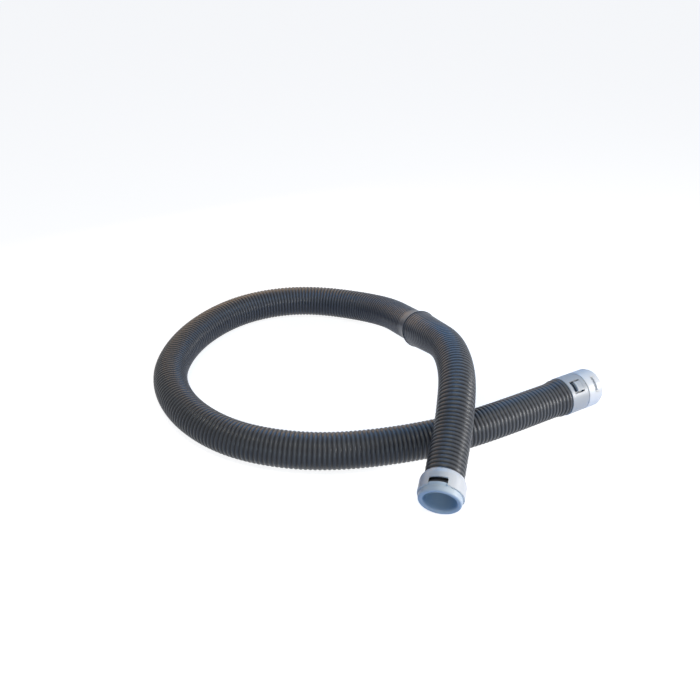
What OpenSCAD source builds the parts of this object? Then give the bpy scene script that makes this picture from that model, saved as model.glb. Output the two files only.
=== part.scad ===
// Vacuum hose: two lengths of ribbed hose with a joiner between them, laid in one crossed loop.
// Its front end has a fixed cuff and its rear end a swivel cuff. Each cuff carries a sliding lock
// ring, and the collar behind the swivel has a press latch.
// Every radius is built up from the bore of the mouths: tail, hose, cuff, ring, collar.
// Millimetres, +Z up, floor at Z = 0, origin under the middle of the loop.

/* [Hose] */
// Thickness of the hose's wall in a valley
hose_wall = 1.4; // [1.2:0.1:1.6]
// Height of a rib over the valley beside it
rib_height = 2.1; // [1.5:0.1:2.3]
// Number of ribs on the rear length
rear_ribs = 156; // [60:2:156]
// Number of ribs on the front length
front_ribs = 44; // [20:2:44]

/* [Hose ends] */
// Length of the barbed tail that each fitting pushes into the hose
tail_len = 24; // [18:1:28]
// Wall of a tail between its barbs
tail_wall = 1.25; // [1:0.05:1.45]
// Height of a barb
barb_h = 0.45; // [0.3:0.05:0.6]
// How far a tail opens the bore in radius
tail_opening = 0.9; // [0.7:0.1:1]
// How far the last ribs flare out in radius before the rear collar
rear_flare = 1.9; // [0.5:0.1:2]
// Length of that flare
rear_flare_len = 28; // [20:1:40]
// How far the front lock ring's lip presses the ribs down in radius
lip_squeeze = 1.1; // [0.9:0.1:1.2]

/* [Joiner] */
// Length of the smooth band between the two lengths
band_len = 25; // [20:1:32]
// How far the joiner stretches the front length in radius
joint_stretch = 2.9; // [2:0.1:3]
// Length over which the stretched hose settles back
settle_len = 70; // [60:1:90]
// How far the band's lip stands over the stretched ribs in radius
band_lip = 0.8; // [0.2:0.1:1.2]

/* [Lock rings] */
// Length of the front lock ring
front_ring_len = 23.5; // [22:0.5:25]
// Length of the rear lock ring
rear_ring_len = 21; // [20:0.5:22]
// Wall of a lock ring's fingers
ring_wall = 1.9; // [1.6:0.1:2.2]
// Radial clearance of a ring on its cuff
slide_fit = 0.1; // [0.05:0.01:0.2]
// Depth of the notches from a ring's front edge
notch_depth = 10; // [9:0.5:11]
// Width of a notch
notch_w = 23; // [20:0.5:25]
// Radius of a notch's inner corners
notch_round = 2; // [1:0.25:3]
// Angle that a lug fills
lug_angle = 42; // [30:1:43]
// Length of the lugs on the front cuff
front_lug_len = 3; // [2:0.5:4]
// Length of the lugs on the rear cuff
rear_lug_len = 6; // [5:0.5:6.5]

/* [Cuffs] */
// Bore of both mouths, for a 38 mm spigot
mouth_bore = 38; // [37:0.25:38.5]
// How far the front cuff's rim stands over the hose in radius
rim_stand = 2; // [1.5:0.1:2.5]
// How far the front cuff's face stands in front of its ring
front_lead = 8; // [6:0.5:10]
// How far the rear cuff's face stands in front of its ring
rear_lead = 6; // [4:0.5:8]
// Radius of a mouth's outer edge
mouth_round = 2.5; // [1.5:0.25:3]
// Depth of the rounded lead-in of a mouth
lead_in = 6.5; // [3:0.5:8]

/* [Rear collar and swivel] */
// Length of the collar
collar_len = 29; // [27:1:36]
// Wall of the collar
collar_wall = 2; // [1.6:0.1:2.2]
// Room between the swivel neck and the collar, where the clip sits
clip_room = 1.7; // [1.5:0.1:2]
// Gap between the collar and the lock ring
collar_gap = 1; // [0.5:0.1:2]
// Wall of the swivel neck
neck_wall = 1.85; // [1.6:0.05:2]
// Running clearance of the swivel in radius
swivel_fit = 0.05; // [0.03:0.01:0.1]
// Thickness of the seal ring's section
seal_d = 1.2; // [1:0.05:1.3]
// Length of the latch tab
latch_len = 11.5; // [9:0.5:12]
// Angle that the latch tab fills
latch_angle = 31; // [20:1:40]
// Slot at the latch tab's free end
latch_slot = 5.3; // [3:0.1:5.5]

/* [Hidden] */
$fn = 96;

// Clearances and small edges
seat_gap = 0.05;
end_play = 0.3;
tail_fit = 0.14;
barb_count = 3;
edge = 0.5;

// The hose as an eight-sided tube of the same area as the round one
SIDES = 8;
corner = sqrt(2 * PI / (SIDES * sin(360 / SIDES)));
floor_cut = 0.5;
bore_step = 24;
function flat(r) = r * corner * cos(180 / SIDES);
function ramp(d, full, none) = max(0, min(1, (none - d) / (none - full)));

// Radii from the mouth's bore outwards: tails, hose, front cuff
mouth_r = mouth_bore / 2;
tail_r = mouth_r + tail_wall;
tail_tip_r = tail_r + barb_h;
bore_r = (tail_tip_r + tail_fit) / flat(1) - tail_opening;
valley_r = bore_r + hose_wall;
hose_r = valley_r + rib_height;
front_rim_r = hose_r + rim_stand;
front_ring_r = front_rim_r + slide_fit + ring_wall;

// Radii from the tail outwards at the rear: sleeve, neck, collar; the lock ring is as wide as the collar
sleeve_step = 0.2;
sleeve_r = tail_tip_r + sleeve_step;
neck_bore_r = sleeve_r + swivel_fit;
neck_r = neck_bore_r + neck_wall;
collar_bore_r = neck_r + clip_room;
collar_r = collar_bore_r + collar_wall;
rear_rim_r = collar_r - ring_wall - slide_fit;

// Lock rings: lip behind, cone inside up to the sliding bore, rounded shoulder outside
lip_wall = 0.8;
lip_len = 2.5;
cone_end = 8;
front_shoulder = 8;
rear_shoulder = 1.2;
lip_r = corner * (hose_r - lip_squeeze) + end_play;
ring_ahead = 4;
hose_seat = front_ring_len - ring_ahead;
front_face_z = ring_ahead + front_lead;

// Lugs: two on each cuff, square behind and sloping off in front
lug_count = 2;
lug_slope = 1.5;
lug_set = 0.1;
lug_root = 1;

// Heights along the rear fitting, from the end of the hose
web = 2.5;
flange_t = 2;
flange_z = web + flange_t;
washer_t = 0.9;
neck_z = flange_z + seat_gap + washer_t + end_play;
clip_t = 1;
clip_play = 0.1;
clip_depth = 1;
clip_front = 1.5;
clip_opening = 24;
clip_groove_z = collar_len - clip_front - clip_t;
neck_rim_t = 2.8;
neck_rim_z = clip_groove_z + clip_play - end_play;
sleeve_z = neck_rim_z - neck_rim_t + edge;
seal_back = 4;
seal_z = neck_z + seal_back;
seal_side = 0.15;
rim_slope = 4;
rear_ring_z = collar_len + collar_gap;
rear_face_z = rear_ring_z + rear_ring_len + rear_lead;

// Latch tab: its root is next to the lock ring, its free end is raised
latch_front = 6.5;
latch_end_z = collar_len - latch_front;
latch_z = latch_end_z - latch_len;
latch_side = 1.2;
latch_lip = 1.3;
latch_lip_len = 2.2;
latch_lip_slope = 1.8;

// Where the ends lie and point: azimuth and elevation in degrees
rear_az = 31;
rear_el = 0;
joint_az = -70;
joint_el = 13;
front_az = -104;
front_el = -20;
notch_turn_front = 188;
notch_turn_rear = 227;
latch_turn = 216;
function heading(az, el) = [cos(az) * cos(el), sin(az) * cos(el), sin(el)];

// The front fitting lies on its cuff's lower edge or on its ring's, whichever is lower
front_z = max(mouth_round + (front_rim_r - mouth_round) * cos(front_el)
    - (front_face_z - mouth_round) * sin(front_el),
    front_ring_r * cos(front_el) - ring_ahead * sin(front_el));

// Route of the centre line: control points of a smooth curve, straight for end_run at each end
end_run = 50;
floor_z = hose_r - floor_cut;
over_z = floor_z + 2 * hose_r;
REAR_END = [256, -51, collar_r];
JOINT = [63, 99, 59.5];
FRONT_END = [73, -262, front_z];
REAR_LOOP = [[105, -135], [30, -160], [-50, -175], [-120, -170], [-190, -145], [-245, -95],
    [-275, -45], [-290, 0], [-295, 50], [-280, 135], [-220, 230], [-120, 270], [-25, 245]];
FRONT_HUMP = [[108, -95, over_z + 18], [100, -145, over_z + 5.5]];
JOINT_FRONT = JOINT + band_len * heading(joint_az, joint_el);

function run_from(p, dir) = [for (k = [-1:2]) p + k * end_run * dir];
function run_to(p, dir) = [for (k = [-2:1]) p + k * end_run * dir];
REAR_CURVE = concat(run_from(REAR_END, -heading(rear_az, rear_el)),
    [for (p = REAR_LOOP) [p.x, p.y, floor_z]],
    run_to(JOINT, heading(joint_az, joint_el)));
FRONT_CURVE = concat(run_from(JOINT_FRONT, heading(joint_az, joint_el)),
    FRONT_HUMP,
    run_to(FRONT_END, heading(front_az, front_el)));

// Uniform cubic B-spline: place and direction at u spans from the start
function span(q, u) = min(floor(u), len(q) - 4);
function place(q, u) = let (i = span(q, u), t = u - i)
    (pow(1 - t, 3) * q[i] + (3 * pow(t, 3) - 6 * t * t + 4) * q[i + 1]
    + (-3 * pow(t, 3) + 3 * t * t + 3 * t + 1) * q[i + 2] + pow(t, 3) * q[i + 3]) / 6;
function slope(q, u) = let (i = span(q, u), t = u - i)
    -pow(1 - t, 2) * q[i] + (3 * t * t - 4 * t) * q[i + 1]
    + (-3 * t * t + 2 * t + 1) * q[i + 2] + t * t * q[i + 3];
function unit(v) = v / norm(v);

// Table from length along the curve to u, so that the ribs are evenly spaced
STEPS = 20;
function measure(q) = let (n = (len(q) - 3) * STEPS, p = [for (i = [0:n]) place(q, i / STEPS)])
    [for (i = 0, s = 0; i <= n; s = s + (i < n ? norm(p[i + 1] - p[i]) : 0), i = i + 1)
        [s, i / STEPS]];
REAR_TABLE = measure(REAR_CURVE);
FRONT_TABLE = measure(FRONT_CURVE);
REAR_LEN = REAR_TABLE[len(REAR_TABLE) - 1][0];
FRONT_LEN = FRONT_TABLE[len(FRONT_TABLE) - 1][0];

// Radii [rib, valley, bore] of the round hose at a distance along each length. The bore closes up
// again past a tail, and the ribs rise again past the front ring's lip
past_tail = 1;
past_lip = 3;
ease = 11;
tail_end = tail_len + past_tail;
lip_end = hose_seat + past_lip;
valley_share = 0.8;
function tail_part(d) = ramp(d, tail_end, tail_end + ease);
function rear_radii(d) = let (
        flare = rear_flare * ramp(d, 0, rear_flare_len),
        tail = tail_opening * (tail_part(d) + tail_part(REAR_LEN - d)))
    [hose_r + flare, valley_r + valley_share * flare + tail / 2, bore_r + tail];
function front_radii(d) = let (
        stretch = joint_stretch * ramp(d, 0, settle_len),
        e = FRONT_LEN - d,
        tail = tail_opening * tail_part(e))
    [hose_r + stretch - lip_squeeze * ramp(e, lip_end, lip_end + ease),
    valley_r + stretch + tail / 2, bore_r + stretch + tail];

// One ring of corners, two flats level; corners that would press into the floor lie on it
function on_floor(p) = [p.x, p.y, p.z < floor_cut ? 0 : p.z];
function ring(q, table, d, r) = let (
        u = lookup(d, table),
        along = unit(slope(q, u)),
        side = unit(cross([0, 0, 1], along)),
        up = cross(along, side),
        c = place(q, u))
    [for (k = [0:SIDES - 1]) let (a = (k + 0.5) * 360 / SIDES)
        on_floor(c + r * corner * (cos(a) * side + sin(a) * up))];

// One unbroken tube: a valley and a rib ring for each rib outside, fewer rings in the bore
module ribbed_tube(outer, inner) {
    no = len(outer);
    ni = len(inner);
    function o(i, k) = i * SIDES + k % SIDES;
    function n(i, k) = (no + i) * SIDES + k % SIDES;
    outside = [for (i = [0:no - 2], k = [0:SIDES - 1])
        each [[o(i, k), o(i + 1, k), o(i + 1, k + 1)], [o(i, k), o(i + 1, k + 1), o(i, k + 1)]]];
    bore = [for (i = [0:ni - 2], k = [0:SIDES - 1])
        each [[n(i, k), n(i + 1, k + 1), n(i + 1, k)], [n(i, k), n(i, k + 1), n(i + 1, k + 1)]]];
    start = [for (k = [0:SIDES - 1])
        each [[o(0, k), o(0, k + 1), n(0, k + 1)], [o(0, k), n(0, k + 1), n(0, k)]]];
    end = [for (k = [0:SIDES - 1]) let (a = no - 1, b = ni - 1)
        each [[o(a, k), n(b, k), n(b, k + 1)], [o(a, k), n(b, k + 1), o(a, k + 1)]]];
    polyhedron(points = [for (r = outer) each r, for (r = inner) each r],
        faces = concat(outside, bore, start, end), convexity = 20);
}

function bore_places(length) = let (n = ceil((length - 2 * tail_end) / bore_step))
    [0, for (i = [0:n]) tail_end + i * (length - 2 * tail_end) / n, length];
REAR_RINGS = [for (j = [0:2 * rear_ribs]) let (d = j * REAR_LEN / (2 * rear_ribs))
    ring(REAR_CURVE, REAR_TABLE, d, rear_radii(d)[1 - j % 2])];
FRONT_RINGS = [for (j = [0:2 * front_ribs]) let (d = j * FRONT_LEN / (2 * front_ribs))
    ring(FRONT_CURVE, FRONT_TABLE, d, front_radii(d)[1 - j % 2])];

// Least gap where the front length crosses over the rear one, on points along the ribs' sides
CROSSING = [100, -135, floor_z];
near_crossing = 60;
function centre_of(r) = (r[0] + r[SIDES / 2]) / 2;
function side_points(r) = [for (k = [0:SIDES - 1], t = [0:0.25:0.75])
    r[k] * (1 - t) + r[(k + 1) % SIDES] * t];
UNDER = [for (j = [1:2:rear_ribs]) if (norm(centre_of(REAR_RINGS[j]) - CROSSING) < near_crossing)
    side_points(REAR_RINGS[j])];
OVER = [for (j = [1:2:2 * front_ribs])
    if (norm(centre_of(FRONT_RINGS[j]) - [CROSSING.x, CROSSING.y, over_z]) < near_crossing)
    side_points(FRONT_RINGS[j])];
echo(least_gap_at_crossing = min([for (a = UNDER, b = OVER, p = a, q = b) norm(p - q)]),  // front_hose
        rear_length = REAR_LEN, front_length = FRONT_LEN);

module rear_hose() {
    color("#3a3a40")
    ribbed_tube(REAR_RINGS, [for (d = bore_places(REAR_LEN))
        ring(REAR_CURVE, REAR_TABLE, d, rear_radii(d)[2])]);
}

module front_hose() {
    color("#3a3a40")
    ribbed_tube(FRONT_RINGS, [for (d = bore_places(FRONT_LEN))
        ring(FRONT_CURVE, FRONT_TABLE, d, front_radii(d)[2])]);
}

// Fittings are turned shapes whose axis is Z, pointing the way the end points
module at_end(p, az, el) {
    translate(p)
    rotate([0, 90 - el, az])
    children();
}

// Mouth of a cuff with rim radius r and its face at z, as [radius, z] points: round outer edge, narrow
// flat face, and a rounded lead-in down to the bore
face_land = 1;
function mouth(r, z) = let (lead_w = r - mouth_round - face_land - mouth_r) concat(
    [for (a = [0:15:90]) [r - mouth_round + mouth_round * cos(a), z - mouth_round + mouth_round * sin(a)]],
    [for (a = [90:-15:0]) [mouth_r + lead_w * (1 - cos(a)), z - lead_in + lead_in * sin(a)]]);

// Saw-tooth barbs on a tail from z0 up to z1, whose tips follow the radius from tip0 to tip1
function barbs(z0, z1, tip0, tip1) = let (pitch = (z1 - z0) / barb_count)
    [for (i = [0:barb_count - 1], e = [0, 1]) let (z = z0 + (i + 0.8 * e) * pitch)
        [tip0 + (tip1 - tip0) * (z - z0) / (z1 - z0) - (e == 0 ? barb_h : 0), z]];

// The same points turned end for end about height z
function turned(points, z) = [for (i = [len(points) - 1:-1:0]) [points[i][0], z - points[i][1]]];

joiner_wall = 1.6;
joiner_step = 0.7;
joiner_r = tail_tip_r + joiner_step;

module joiner_tube() {
    front_root_r = flat(front_radii(0)[2]) - tail_fit;
    front_tip_r = flat(front_radii(tail_len)[2]) - tail_fit;
    rear_bore_r = tail_r - joiner_wall;
    front_bore_r = front_tip_r - barb_h - joiner_wall;
    color("#6a6562")
    at_end(JOINT, joint_az, joint_el)
    rotate_extrude()
    polygon(concat(
        barbs(-tail_len, 0, tail_tip_r, tail_tip_r),
        [[tail_r, 0], [joiner_r, 0], [joiner_r, band_len], [front_root_r - barb_h, band_len]],
        turned(barbs(-tail_len, 0, front_tip_r, front_root_r), band_len),
        [[front_bore_r, band_len + tail_len], [front_bore_r, band_len], [rear_bore_r, band_len / 3],
            [rear_bore_r, -tail_len]]));
}

// Smooth band that flares to a crisp lip where the front length starts
module joiner_band() {
    lip = hose_r + joint_stretch + band_lip;
    color("#55524f")
    at_end(JOINT, joint_az, joint_el)
    rotate_extrude()
    polygon(concat(
        [[joiner_r + seat_gap, 0]],
        [for (t = [0:0.1:1]) [hose_r + (lip - hose_r) * t * t, t * (band_len - edge)]],
        [[lip - edge, band_len], [joiner_r + seat_gap, band_len]]));
}

// Lugs that fill a ring's notches up to its front edge at z1, on a rim of radius r
module lugs(turn, r, z0, z1) {
    top = r + slide_fit + ring_wall - lug_set;
    for (k = [0:lug_count - 1])
        rotate([0, 0, turn + 360 / lug_count * k - lug_angle / 2])
        rotate_extrude(angle = lug_angle)
        polygon([[r - lug_root, z0], [top, z0], [top, z1 - lug_slope], [r - lug_set, z1 + lug_slope / 2],
            [r - lug_root, z1 + lug_slope / 2]]);
}

module front_cuff() {
    color("#b9cad8")
    at_end(FRONT_END, front_az, front_el)
    union() {
        rotate_extrude()
        polygon(concat(
            barbs(-tail_len, 0, tail_tip_r, tail_tip_r),
            [[tail_r, 0], [front_rim_r - edge, 0], [front_rim_r, edge]],
            mouth(front_rim_r, front_face_z),
            [[mouth_r, -tail_len]]));
        lugs(notch_turn_front, front_rim_r, ring_ahead - front_lug_len, ring_ahead);
    }
}

// Radial cutter of a notch that starts at z0 and is open at z1, its inner corners rounded
module notch(z0, z1, r) {
    rotate([90, 0, 90])
    linear_extrude(r)
    union() {
        translate([-notch_w / 2, z0 + notch_round])
        square([notch_w, z1 - z0]);
        translate([-notch_w / 2 + notch_round, z0])
        square([notch_w - 2 * notch_round, z1 - z0]);
        for (side = [-1, 1])
            translate([side * (notch_w / 2 - notch_round), z0 + notch_round])
            circle(notch_round, $fn = 24);
    }
}

// Lock ring that slides on a rim of radius rim_r: its lip has the radii lip_bore and lip_back
module lock_ring(length, rim_r, lip_bore, lip_back, shoulder, turn) {
    bore = rim_r + slide_fit;
    outside = bore + ring_wall;
    difference() {
        rotate_extrude()
        polygon(concat(
            [[lip_bore, 0]],
            [for (t = [0:0.125:1]) [lip_back + (outside - lip_back) * sin(90 * t), shoulder * t]],
            [[outside, length - edge], [outside - edge, length], [bore, length], [bore, cone_end],
                [lip_bore, lip_len]]));
        for (k = [0:lug_count - 1])
            rotate([0, 0, turn + 360 / lug_count * k])
            notch(length - notch_depth, length, 2 * outside);
    }
}

module front_lock_ring() {
    color("#f2f2f0")
    at_end(FRONT_END, front_az, front_el)
    translate([0, 0, -hose_seat])
    lock_ring(front_ring_len, front_rim_r, lip_r, lip_r + lip_wall, front_shoulder, notch_turn_front);
}

// Sleeve that carries the swivel: barbed tail in the hose, flange behind the collar's web
module rear_ferrule() {
    color("#c9ccce")
    at_end(REAR_END, rear_az, rear_el)
    rotate_extrude()
    polygon(concat(
        barbs(-tail_len, 0, tail_tip_r, tail_tip_r),
        [[tail_r, 0], [sleeve_r, 0], [sleeve_r, web], [collar_bore_r - seat_gap, web],
            [collar_bore_r - seat_gap, flange_z], [sleeve_r, flange_z], [sleeve_r, sleeve_z],
            [mouth_r, sleeve_z], [mouth_r, -tail_len]]));
}

// Sector of a turned ring between two radii and two heights, centred on turn
module sector(turn, angle, r0, r1, z0, z1) {
    rotate([0, 0, turn - angle / 2])
    rotate_extrude(angle = angle)
    polygon([[r0, z0], [r1, z0], [r1, z1], [r0, z1]]);
}

module rear_collar() {
    groove_top = clip_groove_z + clip_t + 2 * clip_play;
    side_angle = 2 * atan(latch_side / collar_r);
    color("#b4bec8")
    at_end(REAR_END, rear_az, rear_el)
    difference() {
        rotate_extrude()
        polygon([[sleeve_r + seat_gap, 0], [collar_r - edge, 0], [collar_r, edge],
            [collar_r, collar_len - edge], [collar_r - edge, collar_len],
            [collar_bore_r, collar_len], [collar_bore_r, groove_top],
            [collar_bore_r + clip_depth, groove_top], [collar_bore_r + clip_depth, clip_groove_z],
            [collar_bore_r, clip_groove_z], [collar_bore_r, web], [sleeve_r + seat_gap, web]]);
        sector(latch_turn, latch_angle + 2 * side_angle, collar_bore_r - edge, collar_r + edge,
            latch_z - latch_slot, latch_end_z);
    }
}

// Press tab of the latch: hinged at the end next to the ring, its free end raised
module latch_tab() {
    raised_r = collar_r + latch_lip;
    raised_z = latch_z + latch_lip_len;
    color("#dfe3e6")
    at_end(REAR_END, rear_az, rear_el)
    rotate([0, 0, latch_turn - latch_angle / 2])
    rotate_extrude(angle = latch_angle)
    polygon([[collar_bore_r, latch_z], [raised_r - edge, latch_z], [raised_r, latch_z + edge],
        [raised_r, raised_z], [collar_r, raised_z + latch_lip_slope], [collar_r, latch_end_z - end_play],
        [collar_bore_r, latch_end_z - end_play]]);
}

module swivel_washer() {
    color("#e8e4d8")
    at_end(REAR_END, rear_az, rear_el)
    rotate_extrude()
    translate([neck_bore_r, flange_z + seat_gap])
    square([neck_wall, washer_t]);
}

// Split ring in the collar's groove that keeps the swivel neck in
module swivel_clip() {
    color("silver")
    at_end(REAR_END, rear_az, rear_el)
    sector(latch_turn, 360 - clip_opening, neck_r + end_play, collar_bore_r + clip_depth - clip_play,
        clip_groove_z + clip_play, clip_groove_z + clip_play + clip_t);
}

seal_r = neck_bore_r + seal_d / 2;

// Swivel cuff: neck inside the collar with a rim behind the clip, then the rim that carries the ring
module rear_cuff() {
    ring_front_z = rear_ring_z + rear_ring_len;
    rim_z = ring_front_z - rear_lug_len;
    groove_r = seal_r + seal_d / 2 + seat_gap;
    groove_half = seal_d / 2 + seal_side;
    color("#d5dfe8")
    at_end(REAR_END, rear_az, rear_el)
    union() {
        rotate_extrude()
        polygon(concat(
            [[neck_bore_r, neck_z], [neck_r, neck_z], [neck_r, neck_rim_z - neck_rim_t],
                [collar_bore_r - end_play, neck_rim_z - neck_rim_t], [collar_bore_r - end_play, neck_rim_z],
                [neck_r, neck_rim_z], [neck_r, rim_z - rim_slope], [rear_rim_r, rim_z + edge]],
            mouth(rear_rim_r, rear_face_z),
            [[mouth_r, sleeve_z + end_play], [neck_bore_r, sleeve_z + end_play],
                [neck_bore_r, seal_z + groove_half], [groove_r, seal_z + groove_half],
                [groove_r, seal_z - groove_half], [neck_bore_r, seal_z - groove_half]]));
        lugs(notch_turn_rear, rear_rim_r, rim_z, ring_front_z);
    }
}

module swivel_seal() {
    color("#202022")
    at_end(REAR_END, rear_az, rear_el)
    rotate_extrude()
    translate([seal_r, seal_z])
    circle(seal_d / 2, $fn = 24);
}

module rear_lock_ring() {
    color("#f2f2f0")
    at_end(REAR_END, rear_az, rear_el)
    translate([0, 0, rear_ring_z])
    lock_ring(rear_ring_len, rear_rim_r, neck_r + end_play, collar_r - edge, rear_shoulder,
        notch_turn_rear);
}

rear_hose();
front_hose();
joiner_tube();
joiner_band();
front_cuff();
front_lock_ring();
rear_ferrule();
rear_collar();
latch_tab();
swivel_washer();
swivel_clip();
rear_cuff();
swivel_seal();
rear_lock_ring();
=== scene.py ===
# %% [markdown]
# # A pool vacuum hose
# The hose is two lengths of ribbed plastic tube with a joiner between them. It lies on a floor in one
# crossed loop, and each end has a cuff with a white lock ring. The moulded fittings come from the
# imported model. The hose itself is built here, because its ribs are too fine for the solid model.

# %% Setting up
import math

import bpy
import numpy as np
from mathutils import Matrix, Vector


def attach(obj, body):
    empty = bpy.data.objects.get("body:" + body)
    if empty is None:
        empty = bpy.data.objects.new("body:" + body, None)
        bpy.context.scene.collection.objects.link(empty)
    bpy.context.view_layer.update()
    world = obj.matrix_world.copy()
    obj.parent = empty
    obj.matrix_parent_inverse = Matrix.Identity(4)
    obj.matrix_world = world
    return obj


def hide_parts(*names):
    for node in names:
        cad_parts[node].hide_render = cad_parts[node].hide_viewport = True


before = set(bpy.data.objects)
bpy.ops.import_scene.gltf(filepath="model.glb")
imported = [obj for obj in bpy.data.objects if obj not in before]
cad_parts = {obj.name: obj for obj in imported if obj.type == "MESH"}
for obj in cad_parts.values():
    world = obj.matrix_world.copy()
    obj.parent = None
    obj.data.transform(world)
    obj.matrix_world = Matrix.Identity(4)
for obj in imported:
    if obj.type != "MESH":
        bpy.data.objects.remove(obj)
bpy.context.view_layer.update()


# %% [markdown]
# ## The camera
# Something that lies on the floor is looked at from above, but a steep view would hide that the hose
# climbs over itself. So the camera looks down by 28 degrees, from 1.2 m away. It could be tilted
# further to move the hose up in the frame. The lens shift does that without a change of perspective.

# %% Camera
CAMERA_AT = Vector((-0.032, -1.034, 0.646))
CAMERA_DOWN = math.radians(28)
FOCAL_PX = 844.3
IMAGE_PX = 700
HORIZON_SHIFT_PX = 15.3
SENSOR_MM = 36

camera = bpy.data.objects.new("camera", bpy.data.cameras.new("camera"))
bpy.context.scene.collection.objects.link(camera)
camera.location = CAMERA_AT
camera.rotation_euler = (math.pi / 2 - CAMERA_DOWN, 0, 0)
camera.data.sensor_width = SENSOR_MM
camera.data.lens = FOCAL_PX / IMAGE_PX * SENSOR_MM
camera.data.shift_y = -HORIZON_SHIFT_PX / IMAGE_PX
camera.data.clip_start = 0.01
bpy.context.scene.camera = camera
print("lens:", round(camera.data.lens, 2), "mm")


# %% [markdown]
# ## The route of the hose
# A hose is a fixed length of something bendy, so its line is settled before its surface. The rear
# length lies on the floor and climbs towards the joiner. The front length goes on up, crosses over the
# rear one and comes down to the floor. A simulation could drop it there, but not in a loop of one's
# choice, so a few points are given. Four in a row at each end keep the line straight where a
# fitting's tail sits inside.

# %% Route
HOSE_D = 0.048
FLOOR_CUT = 0.0005  # the floor presses the lowest ribs flat by this much
END_RUN = 0.050  # spacing of the points that keep an end straight
BAND_LEN = 0.025
FLOOR_Z = HOSE_D / 2 - FLOOR_CUT
OVER_Z = FLOOR_Z + HOSE_D

REAR_END = Vector((0.256, -0.051, 0.0265))
JOINT = Vector((0.063, 0.099, 0.0595))
FRONT_END = Vector((0.073, -0.262, 0.02783))
REAR_LOOP = [(0.105, -0.135), (0.030, -0.160), (-0.050, -0.175), (-0.120, -0.170), (-0.190, -0.145),
             (-0.245, -0.095), (-0.275, -0.045), (-0.290, 0.0), (-0.295, 0.050), (-0.280, 0.135),
             (-0.220, 0.230), (-0.120, 0.270), (-0.025, 0.245)]
FRONT_HUMP = [(0.108, -0.095, OVER_Z + 0.018), (0.100, -0.145, OVER_Z + 0.0055)]


def heading(azimuth, elevation):
    """The direction with that compass angle and slope, in degrees."""
    a, e = math.radians(azimuth), math.radians(elevation)
    return Vector((math.cos(a) * math.cos(e), math.sin(a) * math.cos(e), math.sin(e)))


REAR_WAY = heading(31, 0)
JOINT_WAY = heading(-70, 13)
FRONT_WAY = heading(-104, -20)
JOINT_FRONT = JOINT + BAND_LEN * JOINT_WAY

rear_curve = ([REAR_END - k * END_RUN * REAR_WAY for k in (-1, 0, 1, 2)]
              + [Vector((x, y, FLOOR_Z)) for x, y in REAR_LOOP]
              + [JOINT + k * END_RUN * JOINT_WAY for k in (-2, -1, 0, 1)])
front_curve = ([JOINT_FRONT + k * END_RUN * JOINT_WAY for k in (-1, 0, 1, 2)]
               + [Vector(p) for p in FRONT_HUMP]
               + [FRONT_END + k * END_RUN * FRONT_WAY for k in (-2, -1, 0, 1)])
print("route points, rear and front:", len(rear_curve), len(front_curve))


# %% [markdown]
# ## Walking along the line
# Ribs are moulded at an even spacing, so the line has to be walked in metres. Bezier curves could join
# the points, but their bend can jump from one to the next. A uniform cubic B-spline has no such jumps.
# It runs faster where its points lie further apart, so its length is added up in small steps first,
# and each distance is then looked up in that list.

# %% Spline
STEPS_PER_SPAN = 40


def spline(points, u):
    """Places and directions on a uniform cubic B-spline at u spans from its start."""
    q = np.array(points)
    i = np.minimum(np.floor(u).astype(int), len(q) - 4)
    t = (u - i)[:, None]
    place = ((1 - t) ** 3 * q[i] + (3 * t ** 3 - 6 * t ** 2 + 4) * q[i + 1]
             + (-3 * t ** 3 + 3 * t ** 2 + 3 * t + 1) * q[i + 2] + t ** 3 * q[i + 3]) / 6
    way = (-(1 - t) ** 2 * q[i] + (3 * t ** 2 - 4 * t) * q[i + 1]
           + (-3 * t ** 2 + 2 * t + 1) * q[i + 2] + t ** 2 * q[i + 3])
    return place, way / np.linalg.norm(way, axis=1)[:, None]


class Route:
    """A spline that is walked by length in metres."""

    def __init__(self, points):
        spans = len(points) - 3
        self.points = points
        self.u = np.linspace(0, spans, spans * STEPS_PER_SPAN + 1)
        place, _ = spline(points, self.u)
        steps = np.linalg.norm(np.diff(place, axis=0), axis=1)
        self.reach = np.concatenate([[0], np.cumsum(steps)])
        self.length = float(self.reach[-1])

    def at(self, distance):
        return spline(self.points, np.interp(distance, self.reach, self.u))


rear_route = Route(rear_curve)
front_route = Route(front_curve)
print("rear length:", round(rear_route.length, 4), "front length:", round(front_route.length, 4))


# %% [markdown]
# ## Rings round the line
# The wall of a ribbed hose is one skin whose radius goes up and down. A smooth tube could be displaced
# into ribs, but only on a mesh that is fine everywhere. Here one ring of corners is laid for each step
# of a rib's outline, so no corner is spare, and the ribs stay even however the hose bends. Where a ring
# would sink into the floor it is pressed flat, as the hose's own weight does.

# %% Rings
SIDES = 48


def rings(route, distance, radius):
    """One ring of corners at each distance along the route."""
    place, way = route.at(distance)
    side = np.cross([0, 0, 1], way)
    side /= np.linalg.norm(side, axis=1)[:, None]
    up = np.cross(way, side)
    angle = ((np.arange(SIDES) + 0.5) * 2 * math.pi / SIDES)[:, None]
    outward = np.cos(angle) * side[:, None] + np.sin(angle) * up[:, None]
    corners = place[:, None] + radius[:, None, None] * outward
    corners[..., 2] = np.maximum(corners[..., 2], 0)
    return corners.reshape(-1, 3)


print("corners in a ring:", SIDES)


# %% [markdown]
# ## The ribbed tube
# A rib is a round arch, and the valley between two ribs is narrow: eight points draw one rib. The rings
# go forward along the ribs and come back along the bore. Each ring is joined to the next one, and the
# last to the first, so that outside, bore and both end faces are one closed skin. A Solidify modifier
# would make a wall too, but with the ribs on its inside as well.

# %% Tube
RIB_PITCH = 0.00573
RIB_OUTLINE = [(0.0, 0.0), (0.10, 0.13), (0.20, 0.52), (0.34, 0.88), (0.50, 1.0), (0.66, 0.88),
               (0.80, 0.52), (0.90, 0.13)]  # shares of the pitch and of the rib's height
BORE_STEP = 0.012


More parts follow.
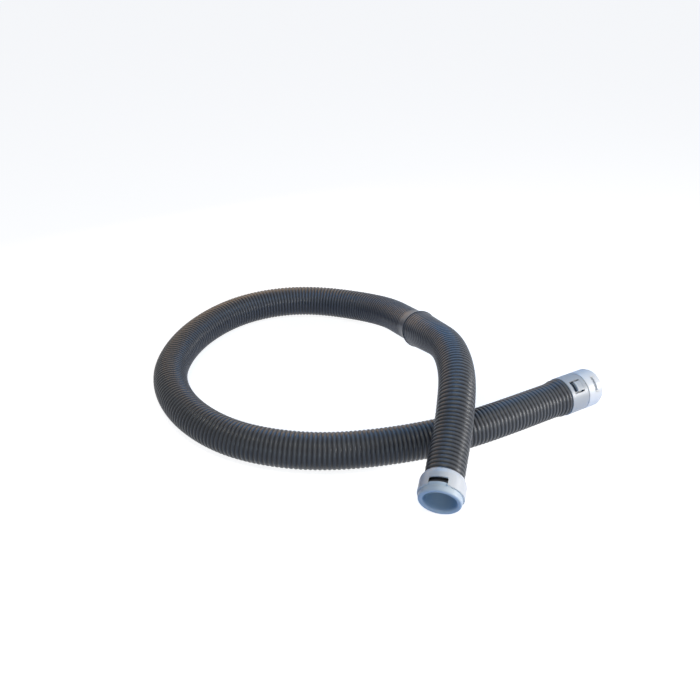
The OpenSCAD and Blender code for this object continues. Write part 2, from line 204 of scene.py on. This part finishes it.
def ribbed_hose(name, route, radii):
    """radii(distance) gives the rib, valley and bore radius."""
    ribs = round(route.length / RIB_PITCH)
    pitch = route.length / ribs
    steps = [((n + phase) * pitch, height) for n in range(ribs) for phase, height in RIB_OUTLINE]
    steps.append((route.length, 0.0))
    rib_at, height = np.array(steps).T
    bore_at = np.linspace(0, route.length, int(route.length / BORE_STEP) + 1)[::-1]
    rib, valley, _ = radii(rib_at)
    _, _, bore = radii(bore_at)
    walk = np.concatenate([rib_at, bore_at])
    corners = rings(route, walk, np.concatenate([valley + (rib - valley) * height, bore]))

    ring = np.arange(len(walk))[:, None] * SIDES
    onward = np.roll(ring, -1, axis=0)
    corner = np.arange(SIDES)
    beside = (corner + 1) % SIDES
    quads = np.stack([ring + corner, ring + beside, onward + beside, onward + corner], axis=-1)
    mesh = bpy.data.meshes.new(name)
    mesh.from_pydata(corners.tolist(), [], quads.reshape(-1, 4).tolist())
    rise = np.repeat(np.concatenate([height, np.zeros(len(bore_at))]), SIDES)
    mesh.attributes.new("rise", "FLOAT", "POINT").data.foreach_set("value", rise.astype(np.float32))
    mesh.shade_smooth()
    piece = bpy.data.objects.new(name, mesh)
    bpy.context.scene.collection.objects.link(piece)
    print(name, "ribs:", ribs, "quads:", len(mesh.polygons))
    return piece


# %% [markdown]
# ## The rear length
# A hose swells where something stiff sits in it. The rear length flares over the last ribs before its
# collar, its bore is wider round the tails at both ends, and its ribs are a little lower at the joiner.
# All of this could be sculpted by hand. Ramps along the length do it with a few numbers, which can be
# read and changed.

# %% Rear length
RIB_H = 0.0011
BORE_R = 0.0205
FLARE, FLARE_FULL, FLARE_NONE = 0.0019, 0.006, 0.019
FLARE_VALLEY = 0.9  # the valleys' share of the flare
REAR_FLAT, REAR_FLAT_LEN = 0.35, 0.05  # the ribs are lower by this share at the joiner
TAIL_LEN, TAIL_OPENING = 0.024, 0.0009
TAIL_FULL, TAIL_NONE = TAIL_LEN + 0.001, TAIL_LEN + 0.012


def ramp(d, full, none):
    """1 up to full, 0 from none, and a smooth step between."""
    t = np.clip((none - d) / (none - full), 0, 1)
    return t * t * (3 - 2 * t)


def tail_opening(d):
    """How much wider the bore is at that distance from an end with a tail in it."""
    return TAIL_OPENING * ramp(d, TAIL_FULL, TAIL_NONE)


def rear_radii(d):
    left = rear_route.length - d
    flare = FLARE * ramp(d, FLARE_FULL, FLARE_NONE)
    flat = RIB_H * REAR_FLAT * ramp(left, 0, REAR_FLAT_LEN)
    bore = BORE_R + tail_opening(d) + tail_opening(left)
    return HOSE_D / 2 + flare, HOSE_D / 2 - RIB_H + FLARE_VALLEY * flare + flat, bore


rear_skin = ribbed_hose("rear_hose_skin", rear_route, rear_radii)


# %% [markdown]
# ## The front length
# The front length is stretched over the joiner, which also flattens its ribs, and it settles back to
# its own size within a hand's width. Its last ribs are pressed in under the lip of the lock ring. It is
# the same tube with its own ramps. The stretch could fall off evenly, but a power makes it fall faster
# at first, as rubbery plastic does beside the thing that stretches it.

# %% Front length
STRETCH, SETTLE_LEN, SETTLE_POWER = 0.0029, 0.070, 1.3
FRONT_FLAT, FRONT_FLAT_FULL, FRONT_FLAT_NONE = 0.55, 0.01, 0.10
LIP_PRESS, LIP_FULL, LIP_NONE = 0.0004, 0.022, 0.030


def front_radii(d):
    left = front_route.length - d
    stretch = STRETCH * np.clip(1 - d / SETTLE_LEN, 0, 1) ** SETTLE_POWER
    flat = RIB_H * FRONT_FLAT * ramp(d, FRONT_FLAT_FULL, FRONT_FLAT_NONE)
    pressed = LIP_PRESS * ramp(left, LIP_FULL, LIP_NONE)
    bore = BORE_R + stretch + tail_opening(left)
    return HOSE_D / 2 + stretch - pressed, HOSE_D / 2 - RIB_H + stretch + flat, bore


front_skin = ribbed_hose("front_hose_skin", front_route, front_radii)


# %% [markdown]
# ## What the tubes stand for
# The imported model has its own plain hose solids. They could stay, but they would cut through the new
# skins, so each tube takes the place of one solid and rides on the same body.

# %% Hose pieces
for skin, node in ((rear_skin, "rear_hose"), (front_skin, "front_hose")):
    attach(skin, "hose")
    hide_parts(node)

print("hose in all:", round(rear_route.length + front_route.length, 3), "m")


# %% [markdown]
# ## Writing materials as sums
# A finish is a small sum, such as a cloudy stain times a tenth plus a base roughness. It could be wired
# node by node, but such a list is hard to read. So this class wraps one output of a node, and each
# operator adds the Math node that does its step.

# %% Shader arithmetic
class Value:
    """One output of a node."""

    def __init__(self, shading, socket):
        self.shading = shading
        self.socket = socket

    def _math(self, operation, *terms, **settings):
        settings["operation"] = operation
        return self.shading.node("ShaderNodeMath", settings, dict(enumerate(terms)))

    def __add__(self, other):
        return self._math("ADD", self, other)

    def __sub__(self, other):
        return self._math("SUBTRACT", self, other)

    def __rsub__(self, other):
        return self._math("SUBTRACT", other, self)

    def __mul__(self, other):
        return self._math("MULTIPLY", self, other)

    def __pow__(self, other):
        return self._math("POWER", self, other)

    def __rpow__(self, other):
        return self._math("POWER", other, self)

    def clamped(self):
        return self._math("ADD", self, 0.0, use_clamp=True)

    __radd__ = __add__
    __rmul__ = __mul__


print("a value can be used with + - * and **")


# %% [markdown]
# ## One way to add a node
# Every node that is added to a finish, and to the sky later, comes from the same method. It takes the
# node's type, its settings, and what goes into its sockets: a plain value, or an output of another
# node. Colours go through a Mix node, because a Math node would turn them grey.

# %% Node trees
MIX_SHARE, MIX_FIRST, MIX_SECOND, MIX_COLOUR = 0, 6, 7, 2  # the Mix node's sockets for colours
SEEN_RAYS = ("Is Camera Ray", "Is Glossy Ray", "Is Transmission Ray")


def opaque(colour):
    """A plain colour with its alpha, or a varying one as it is."""
    return colour if isinstance(colour, Value) else (*colour, 1)


class Shading:
    """The nodes of one material or of the world."""

    def __init__(self, tree):
        self.tree = tree

    def fill(self, socket, value):
        if isinstance(value, Value):
            self.tree.links.new(value.socket, socket)
        else:
            socket.default_value = value

    def node(self, kind, settings=None, inputs=None, output=0):
        made = self.tree.nodes.new(kind)
        for key, value in (settings or {}).items():
            setattr(made, key, value)
        for key, value in (inputs or {}).items():
            self.fill(made.inputs[key], value)
        return Value(self, made.outputs[output])

    def mix(self, share, first, second):
        return self.node("ShaderNodeMix", {"data_type": "RGBA"},
                         {MIX_SHARE: share, MIX_FIRST: opaque(first), MIX_SECOND: opaque(second)},
                         MIX_COLOUR)

    def show(self, lighting, seen, output):
        """Gives one shader to diffuse light, and the other to the eye, to mirrors and to glass."""
        camera_ray, glossy_ray, through_ray = (
            self.node("ShaderNodeLightPath", output=ray) for ray in SEEN_RAYS)
        share = (camera_ray + glossy_ray + through_ray).clamped()
        shown = self.node("ShaderNodeMixShader", {}, {0: share, 1: lighting, 2: seen})
        self.fill(self.tree.nodes[output].inputs["Surface"], shown)


print("rays that show the background:", ", ".join(SEEN_RAYS))


# %% [markdown]
# ## One material
# Plastic, rubber and steel are all made from the Principled shader, which holds what is constant. What
# changes over the surface is fed to it. Patterns are read at the place of each point on the object, so
# they stay on the piece when it moves, and need no unwrapping.

# %% Finish
class Finish(Shading):
    """One material, built up from its Principled shader."""

    def __init__(self, name, **constants):
        self.material = bpy.data.materials.new(name)
        self.material.use_nodes = True
        super().__init__(self.material.node_tree)
        self.shader = self.tree.nodes["Principled BSDF"]
        for socket, value in constants.items():
            self.feed(socket.replace("_", " "), value)

    def feed(self, socket, value):
        self.fill(self.shader.inputs[socket], value)

    def place(self):
        return self.node("ShaderNodeTexCoord", output="Object")

    def noise(self, scale, detail):
        return self.node("ShaderNodeTexNoise", {},
                         {"Vector": self.place(), "Scale": scale, "Detail": detail})

    def bump(self, height, depth, strength):
        settings = {"Height": height, "Distance": depth, "Strength": strength}
        self.feed("Normal", self.node("ShaderNodeBump", {}, settings))

    def done(self):
        print("finish:", self.material.name, "nodes:", len(self.tree.nodes))
        return self.material


# %% [markdown]
# ## The hose's plastic
# The hose is a dark soft plastic with a satin sheen. Its crests are painted paler, a painted highlight
# for the light they catch, and its narrow valleys are painted almost black, as painted shade. A stripe
# pattern could follow the ribs, but it would slip where the hose bends. The tube already knows where
# its
# ribs are: each corner carries its share of a rib's height.

# %% Hose plastic
HOSE_CLOUD = (14.0, 4.0)  # scale and detail
# The valley colours are painted shade and the crest colours a painted highlight; the cloud only varies
# the tone.
VALLEY_PAINTED_SHADE_DARK, VALLEY_PAINTED_SHADE_PALE = (0.008, 0.009, 0.012), (0.012, 0.013, 0.016)
CREST_PAINTED_LIGHT_DARK, CREST_PAINTED_LIGHT_PALE = (0.082, 0.084, 0.089), (0.116, 0.117, 0.120)
CREST_PAINTED_LIGHT_POWER = 1.5
HOSE_ROUGH, HOSE_ROUGH_SPREAD = 0.28, 0.10

made = Finish("hose plastic", IOR=1.45, Specular_IOR_Level=0.35)
rise = made.node("ShaderNodeAttribute", {"attribute_name": "rise"}, output="Fac")
cloud = made.noise(*HOSE_CLOUD)
# Painted highlight on the crests and painted shade in the valleys, mixed by each corner's share of rib
# height.
made.feed("Base Color", made.mix((rise ** CREST_PAINTED_LIGHT_POWER).clamped(),
                                 made.mix(cloud, VALLEY_PAINTED_SHADE_DARK, VALLEY_PAINTED_SHADE_PALE),
                                 made.mix(cloud, CREST_PAINTED_LIGHT_DARK, CREST_PAINTED_LIGHT_PALE)))
made.feed("Roughness", cloud * HOSE_ROUGH_SPREAD + HOSE_ROUGH)
hose_plastic = made.done()


# %% [markdown]
# ## The band's plastic
# The band of the joiner has no ribs, and light runs along it in one soft streak. It is duller than the
# hose, so it gets a higher roughness and a fine grain. The grain is a bump, because it is far too small
# to model.

# %% Band plastic
BAND_CLOUD, BAND_GRAIN = (35.0, 4.0), (700.0, 2.0)
BAND_DARK, BAND_PALE = (0.045, 0.048, 0.053), (0.070, 0.073, 0.078)
BAND_GRAIN_DEPTH, BAND_GRAIN_STRENGTH = 0.00010, 0.5
BAND_ROUGH, BAND_ROUGH_SPREAD = 0.35, 0.15

made = Finish("joiner band plastic")
cloud = made.noise(*BAND_CLOUD)
made.feed("Base Color", made.mix(cloud, BAND_DARK, BAND_PALE))
made.feed("Roughness", cloud * BAND_ROUGH_SPREAD + BAND_ROUGH)
made.bump(made.noise(*BAND_GRAIN), BAND_GRAIN_DEPTH, BAND_GRAIN_STRENGTH)
band_plastic = made.done()


# %% [markdown]
# ## Moulded plastic
# The fittings are hard moulded plastic: white rings, a pale blue-grey cuff, and a grey collar and
# latch. Each could have a material written out for it. But they differ in colour and gloss alone, and
# share a faint clouding and the fine texture of their moulds, so one function makes them all. The parts
# that are hidden inside get a plain grey, and the rubber seal is the same sum in black and duller.

# %% Moulded plastics
MOULDED_IOR = 1.49
MOULDED_CLOUD, MOULDED_GRAIN = (22.0, 4.0), (650.0, 3.0)
MOULDED_GRAIN_DEPTH, MOULDED_GRAIN_STRENGTH = 0.00005, 0.6
MOULDED_ROUGH_SPREAD = 0.12
RING_WHITE, RING_SHADE, RING_ROUGH = (0.78, 0.765, 0.735), (0.73, 0.72, 0.70), 0.28


def moulded(name, pale, deep, rough, tint=None):
    """tint(finish, colour) may change the clouded colour from place to place."""
    finish = Finish(name, IOR=MOULDED_IOR)
    cloud = finish.noise(*MOULDED_CLOUD)
    colour = finish.mix(cloud, pale, deep)
    finish.feed("Base Color", tint(finish, colour) if tint else colour)
    finish.feed("Roughness", cloud * MOULDED_ROUGH_SPREAD + rough)
    finish.bump(finish.noise(*MOULDED_GRAIN), MOULDED_GRAIN_DEPTH, MOULDED_GRAIN_STRENGTH)
    return finish.done()


ring_white = moulded("white moulded plastic", RING_WHITE, RING_SHADE, RING_ROUGH)
cuff_blue = moulded("pale blue moulded plastic", (0.68, 0.75, 0.785), (0.62, 0.69, 0.735), 0.26)
collar_grey = moulded("grey moulded plastic", (0.46, 0.465, 0.46), (0.41, 0.415, 0.41), 0.30)
tab_grey = moulded("latch plastic", (0.50, 0.51, 0.51), (0.45, 0.46, 0.46), 0.30)
inner_grey = moulded("inner plastic", (0.40, 0.41, 0.42), (0.34, 0.35, 0.36), 0.40)
black_rubber = moulded("seal rubber", (0.020, 0.020, 0.020), (0.030, 0.030, 0.030), 0.55)


# %% [markdown]
# ## The swivel cuff
# The cuff that turns is white, and its neck runs inside the collar, where it shows through the slot
# round the latch. There the neck is painted nearly black: painted shade for the deep slot. The neck
# could be a piece of its own. It is one moulding with the cuff, so one material holds the white and the
# painted shade and changes over at the collar's end, by the distance along the swivel's axis.

# %% Swivel plastic
MM_PER_M = 1000.0
NECK_MM = 29.3
# The neck's colour is painted shade for the deep slot round the latch, not a colour of its own.
NECK_PAINTED_SHADE = (0.05, 0.07, 0.10)


def painted_neck_shade(finish, colour):
    """Painted shade up to the neck's end, and the given colour a millimetre further on."""
    from_end = finish.node("ShaderNodeVectorMath", {"operation": "SUBTRACT"},
                           {0: finish.place(), 1: REAR_END})
    along = finish.node("ShaderNodeVectorMath", {"operation": "DOT_PRODUCT"},
                        {0: from_end, 1: REAR_WAY}, "Value")
    return finish.mix((along * MM_PER_M - NECK_MM).clamped(), NECK_PAINTED_SHADE, colour)


swivel_white = moulded("swivel plastic", RING_WHITE, RING_SHADE, RING_ROUGH, painted_neck_shade)


# %% [markdown]
# ## Spring steel
# The clip that keeps the swivel in its collar is a split ring of bare steel. It is out of sight, and
# shows only when the model is taken apart, so faint streaks in its colour and gloss are enough.

# %% Clip steel
STEEL_STREAK = (400.0, 2.0)
STEEL_DARK, STEEL_PALE = (0.55, 0.55, 0.56), (0.68, 0.68, 0.68)
STEEL_ROUGH, STEEL_ROUGH_SPREAD = 0.25, 0.2

made = Finish("spring steel", Metallic=1.0)
streak = made.noise(*STEEL_STREAK)
made.feed("Base Color", made.mix(streak, STEEL_DARK, STEEL_PALE))
made.feed("Roughness", streak * STEEL_ROUGH_SPREAD + STEEL_ROUGH)
clip_steel = made.done()


# %% [markdown]
# ## Dressing the pieces
# Each piece now gets its finish by name. This could be a line in each finish's own step. One table
# shows at a glance which pieces are of the same plastic. A packed fitting has a slot for its finish
# already, and a new tube gets one.

# %% Finishes
FINISHES = {
    "rear_hose_skin": hose_plastic, "front_hose_skin": hose_plastic, "joiner_band": band_plastic,
    "joiner_tube": inner_grey, "front_cuff": cuff_blue, "front_lock_ring": ring_white,
    "rear_collar": collar_grey, "latch_tab": tab_grey, "rear_cuff": swivel_white,
    "rear_lock_ring": ring_white, "rear_ferrule": inner_grey, "swivel_washer": inner_grey,
    "swivel_clip": clip_steel, "swivel_seal": black_rubber,
}
for name, material in FINISHES.items():
    piece = bpy.data.objects[name]
    if piece.material_slots:
        for slot in piece.material_slots:
            slot.material = material
    else:
        piece.data.materials.append(material)
print("pieces:", len(FINISHES), "finishes:", len(set(FINISHES.values())))


# %% [markdown]
# ## Soft edges
# Moulded parts have no knife edges: each edge is a little round and catches a thin line of light. The
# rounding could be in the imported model, but it is finer than the solids need. So a Bevel modifier
# softens the sharp edges of the rings, the collar and the latch, and leaves their meshes as they are.

# %% Bevels
EDGE_WIDTHS = {"front_lock_ring": 0.0004, "rear_lock_ring": 0.0004, "rear_collar": 0.0003,
               "latch_tab": 0.0003}
SHARP_ANGLE = math.radians(50)

for name, width in EDGE_WIDTHS.items():
    bevel = bpy.data.objects[name].modifiers.new("soft edges", "BEVEL")
    bevel.width = width
    bevel.segments = 2
    bevel.limit_method = "ANGLE"
    bevel.angle_limit = SHARP_ANGLE
    bevel.use_clamp_overlap = True
    bevel.harden_normals = True
print("softened:", ", ".join(EDGE_WIDTHS))


# %% [markdown]
# ## Floor
# The hose lies on a plain white floor that runs up to a white sky, so its outline stays clear. A
# poolside is blue, though, and that blue is what the undersides get back. A blue floor would do that,
# but it would be seen as well. So the floor has two finishes: the camera, gloss and glass see white
# with a faint shadow, and soft bounces see blue.

# %% Floor
FLOOR_SIZE = 12
FLOOR_DROP = 0.0004  # two faces in one place would render as noise
FLOOR_GLOW, FLOOR_SHADE = 0.90, (0.5, 0.5, 0.5)
POOL_BLUE = (0.02, 0.25, 0.66)

made = Finish("floor", Base_Color=opaque(POOL_BLUE), Roughness=1.0, Specular_IOR_Level=0.0)
glow = made.node("ShaderNodeEmission", {}, {"Strength": FLOOR_GLOW})
shaded = made.node("ShaderNodeBsdfDiffuse", {}, {"Color": opaque(FLOOR_SHADE)})
seen = made.node("ShaderNodeAddShader", {}, {0: glow, 1: shaded})
made.show(Value(made, made.shader.outputs["BSDF"]), seen, "Material Output")

bpy.ops.mesh.primitive_plane_add(size=FLOOR_SIZE, location=(0, 0, -FLOOR_DROP))
floor = bpy.context.object
floor.name = "floor"
floor.data.materials.append(made.done())


# %% [markdown]
# ## Lamps
# Satin ribs need one broad light at the side, which draws the same small arc on every rib. A narrow one
# from above gives the long line on top, a soft one in front fills the mouths, and two weak ones behind
# part the warm far side of the loop from the cool crossing. They could be stronger for the dark hose,
# but then the white rings would clip.

# %% Lamps
LAMPS = {  # place, target, width and height, watts, colour
    "window": ((1.25, -0.42, 0.38), (0.12, -0.12, 0.02), (0.65, 0.35), 13.0, (1.0, 0.99, 0.98)),
    "overhead": ((-0.20, -0.80, 1.5), (-0.05, 0, 0), (0.6, 0.14), 5.5, (1.0, 0.97, 0.86)),
    "warm back": ((-0.35, 0.60, 0.30), (-0.14, 0.22, 0.02), (0.7, 0.25), 1.1, (1.0, 0.58, 0.22)),
    "blue back": ((0.10, 0.16, 0.42), (0.14, -0.10, 0.02), (0.4, 0.25), 1.1, (0.04, 0.40, 1.0)),
    "front fill": ((0.05, -1.3, 0.25), (0.05, -0.1, 0.03), (0.9, 0.3), 2.6, (0.72, 0.88, 1.0)),
}


def lamp(name, at, target, size, watts, colour):
    light = bpy.data.lights.new(name, "AREA")
    light.shape = "RECTANGLE"
    light.size, light.size_y = size
    light.energy = watts
    light.color = colour
    made = bpy.data.objects.new(name, light)
    made.location = at
    made.rotation_euler = (Vector(target) - Vector(at)).to_track_quat("-Z", "Y").to_euler()
    made.visible_camera = False
    bpy.context.scene.collection.objects.link(made)


for name, settings in LAMPS.items():
    lamp(name, *settings)
print("lamps:", ", ".join(LAMPS))


# %% [markdown]
# ## Sky
# The sky does what the floor does: it is white to the camera, in gloss and through glass, and a dim
# blue to soft bounces. An image of a real sky could light the hose too, but a blend of two blues by
# height is enough for something so dark.

# %% World
SKY_LOW, SKY_HIGH = (0.00, 0.02, 0.10), (0.03, 0.06, 0.10)
WHITE = (1, 1, 1)

world = bpy.data.worlds.new("world")
world.use_nodes = True
bpy.context.scene.world = world
sky = Shading(world.node_tree)
direction = sky.node("ShaderNodeTexCoord", output="Generated")
upward = sky.node("ShaderNodeSeparateXYZ", {}, {0: direction}, "Z")
dim = sky.tree.nodes["Background"]
sky.fill(dim.inputs["Color"], sky.mix(upward.clamped(), SKY_LOW, SKY_HIGH))
plain = sky.node("ShaderNodeBackground", {}, {"Color": opaque(WHITE)})
sky.show(Value(sky, dim.outputs["Background"]), plain, "World Output")
bpy.context.scene.view_settings.view_transform = "Standard"
print("sky nodes:", len(sky.tree.nodes))
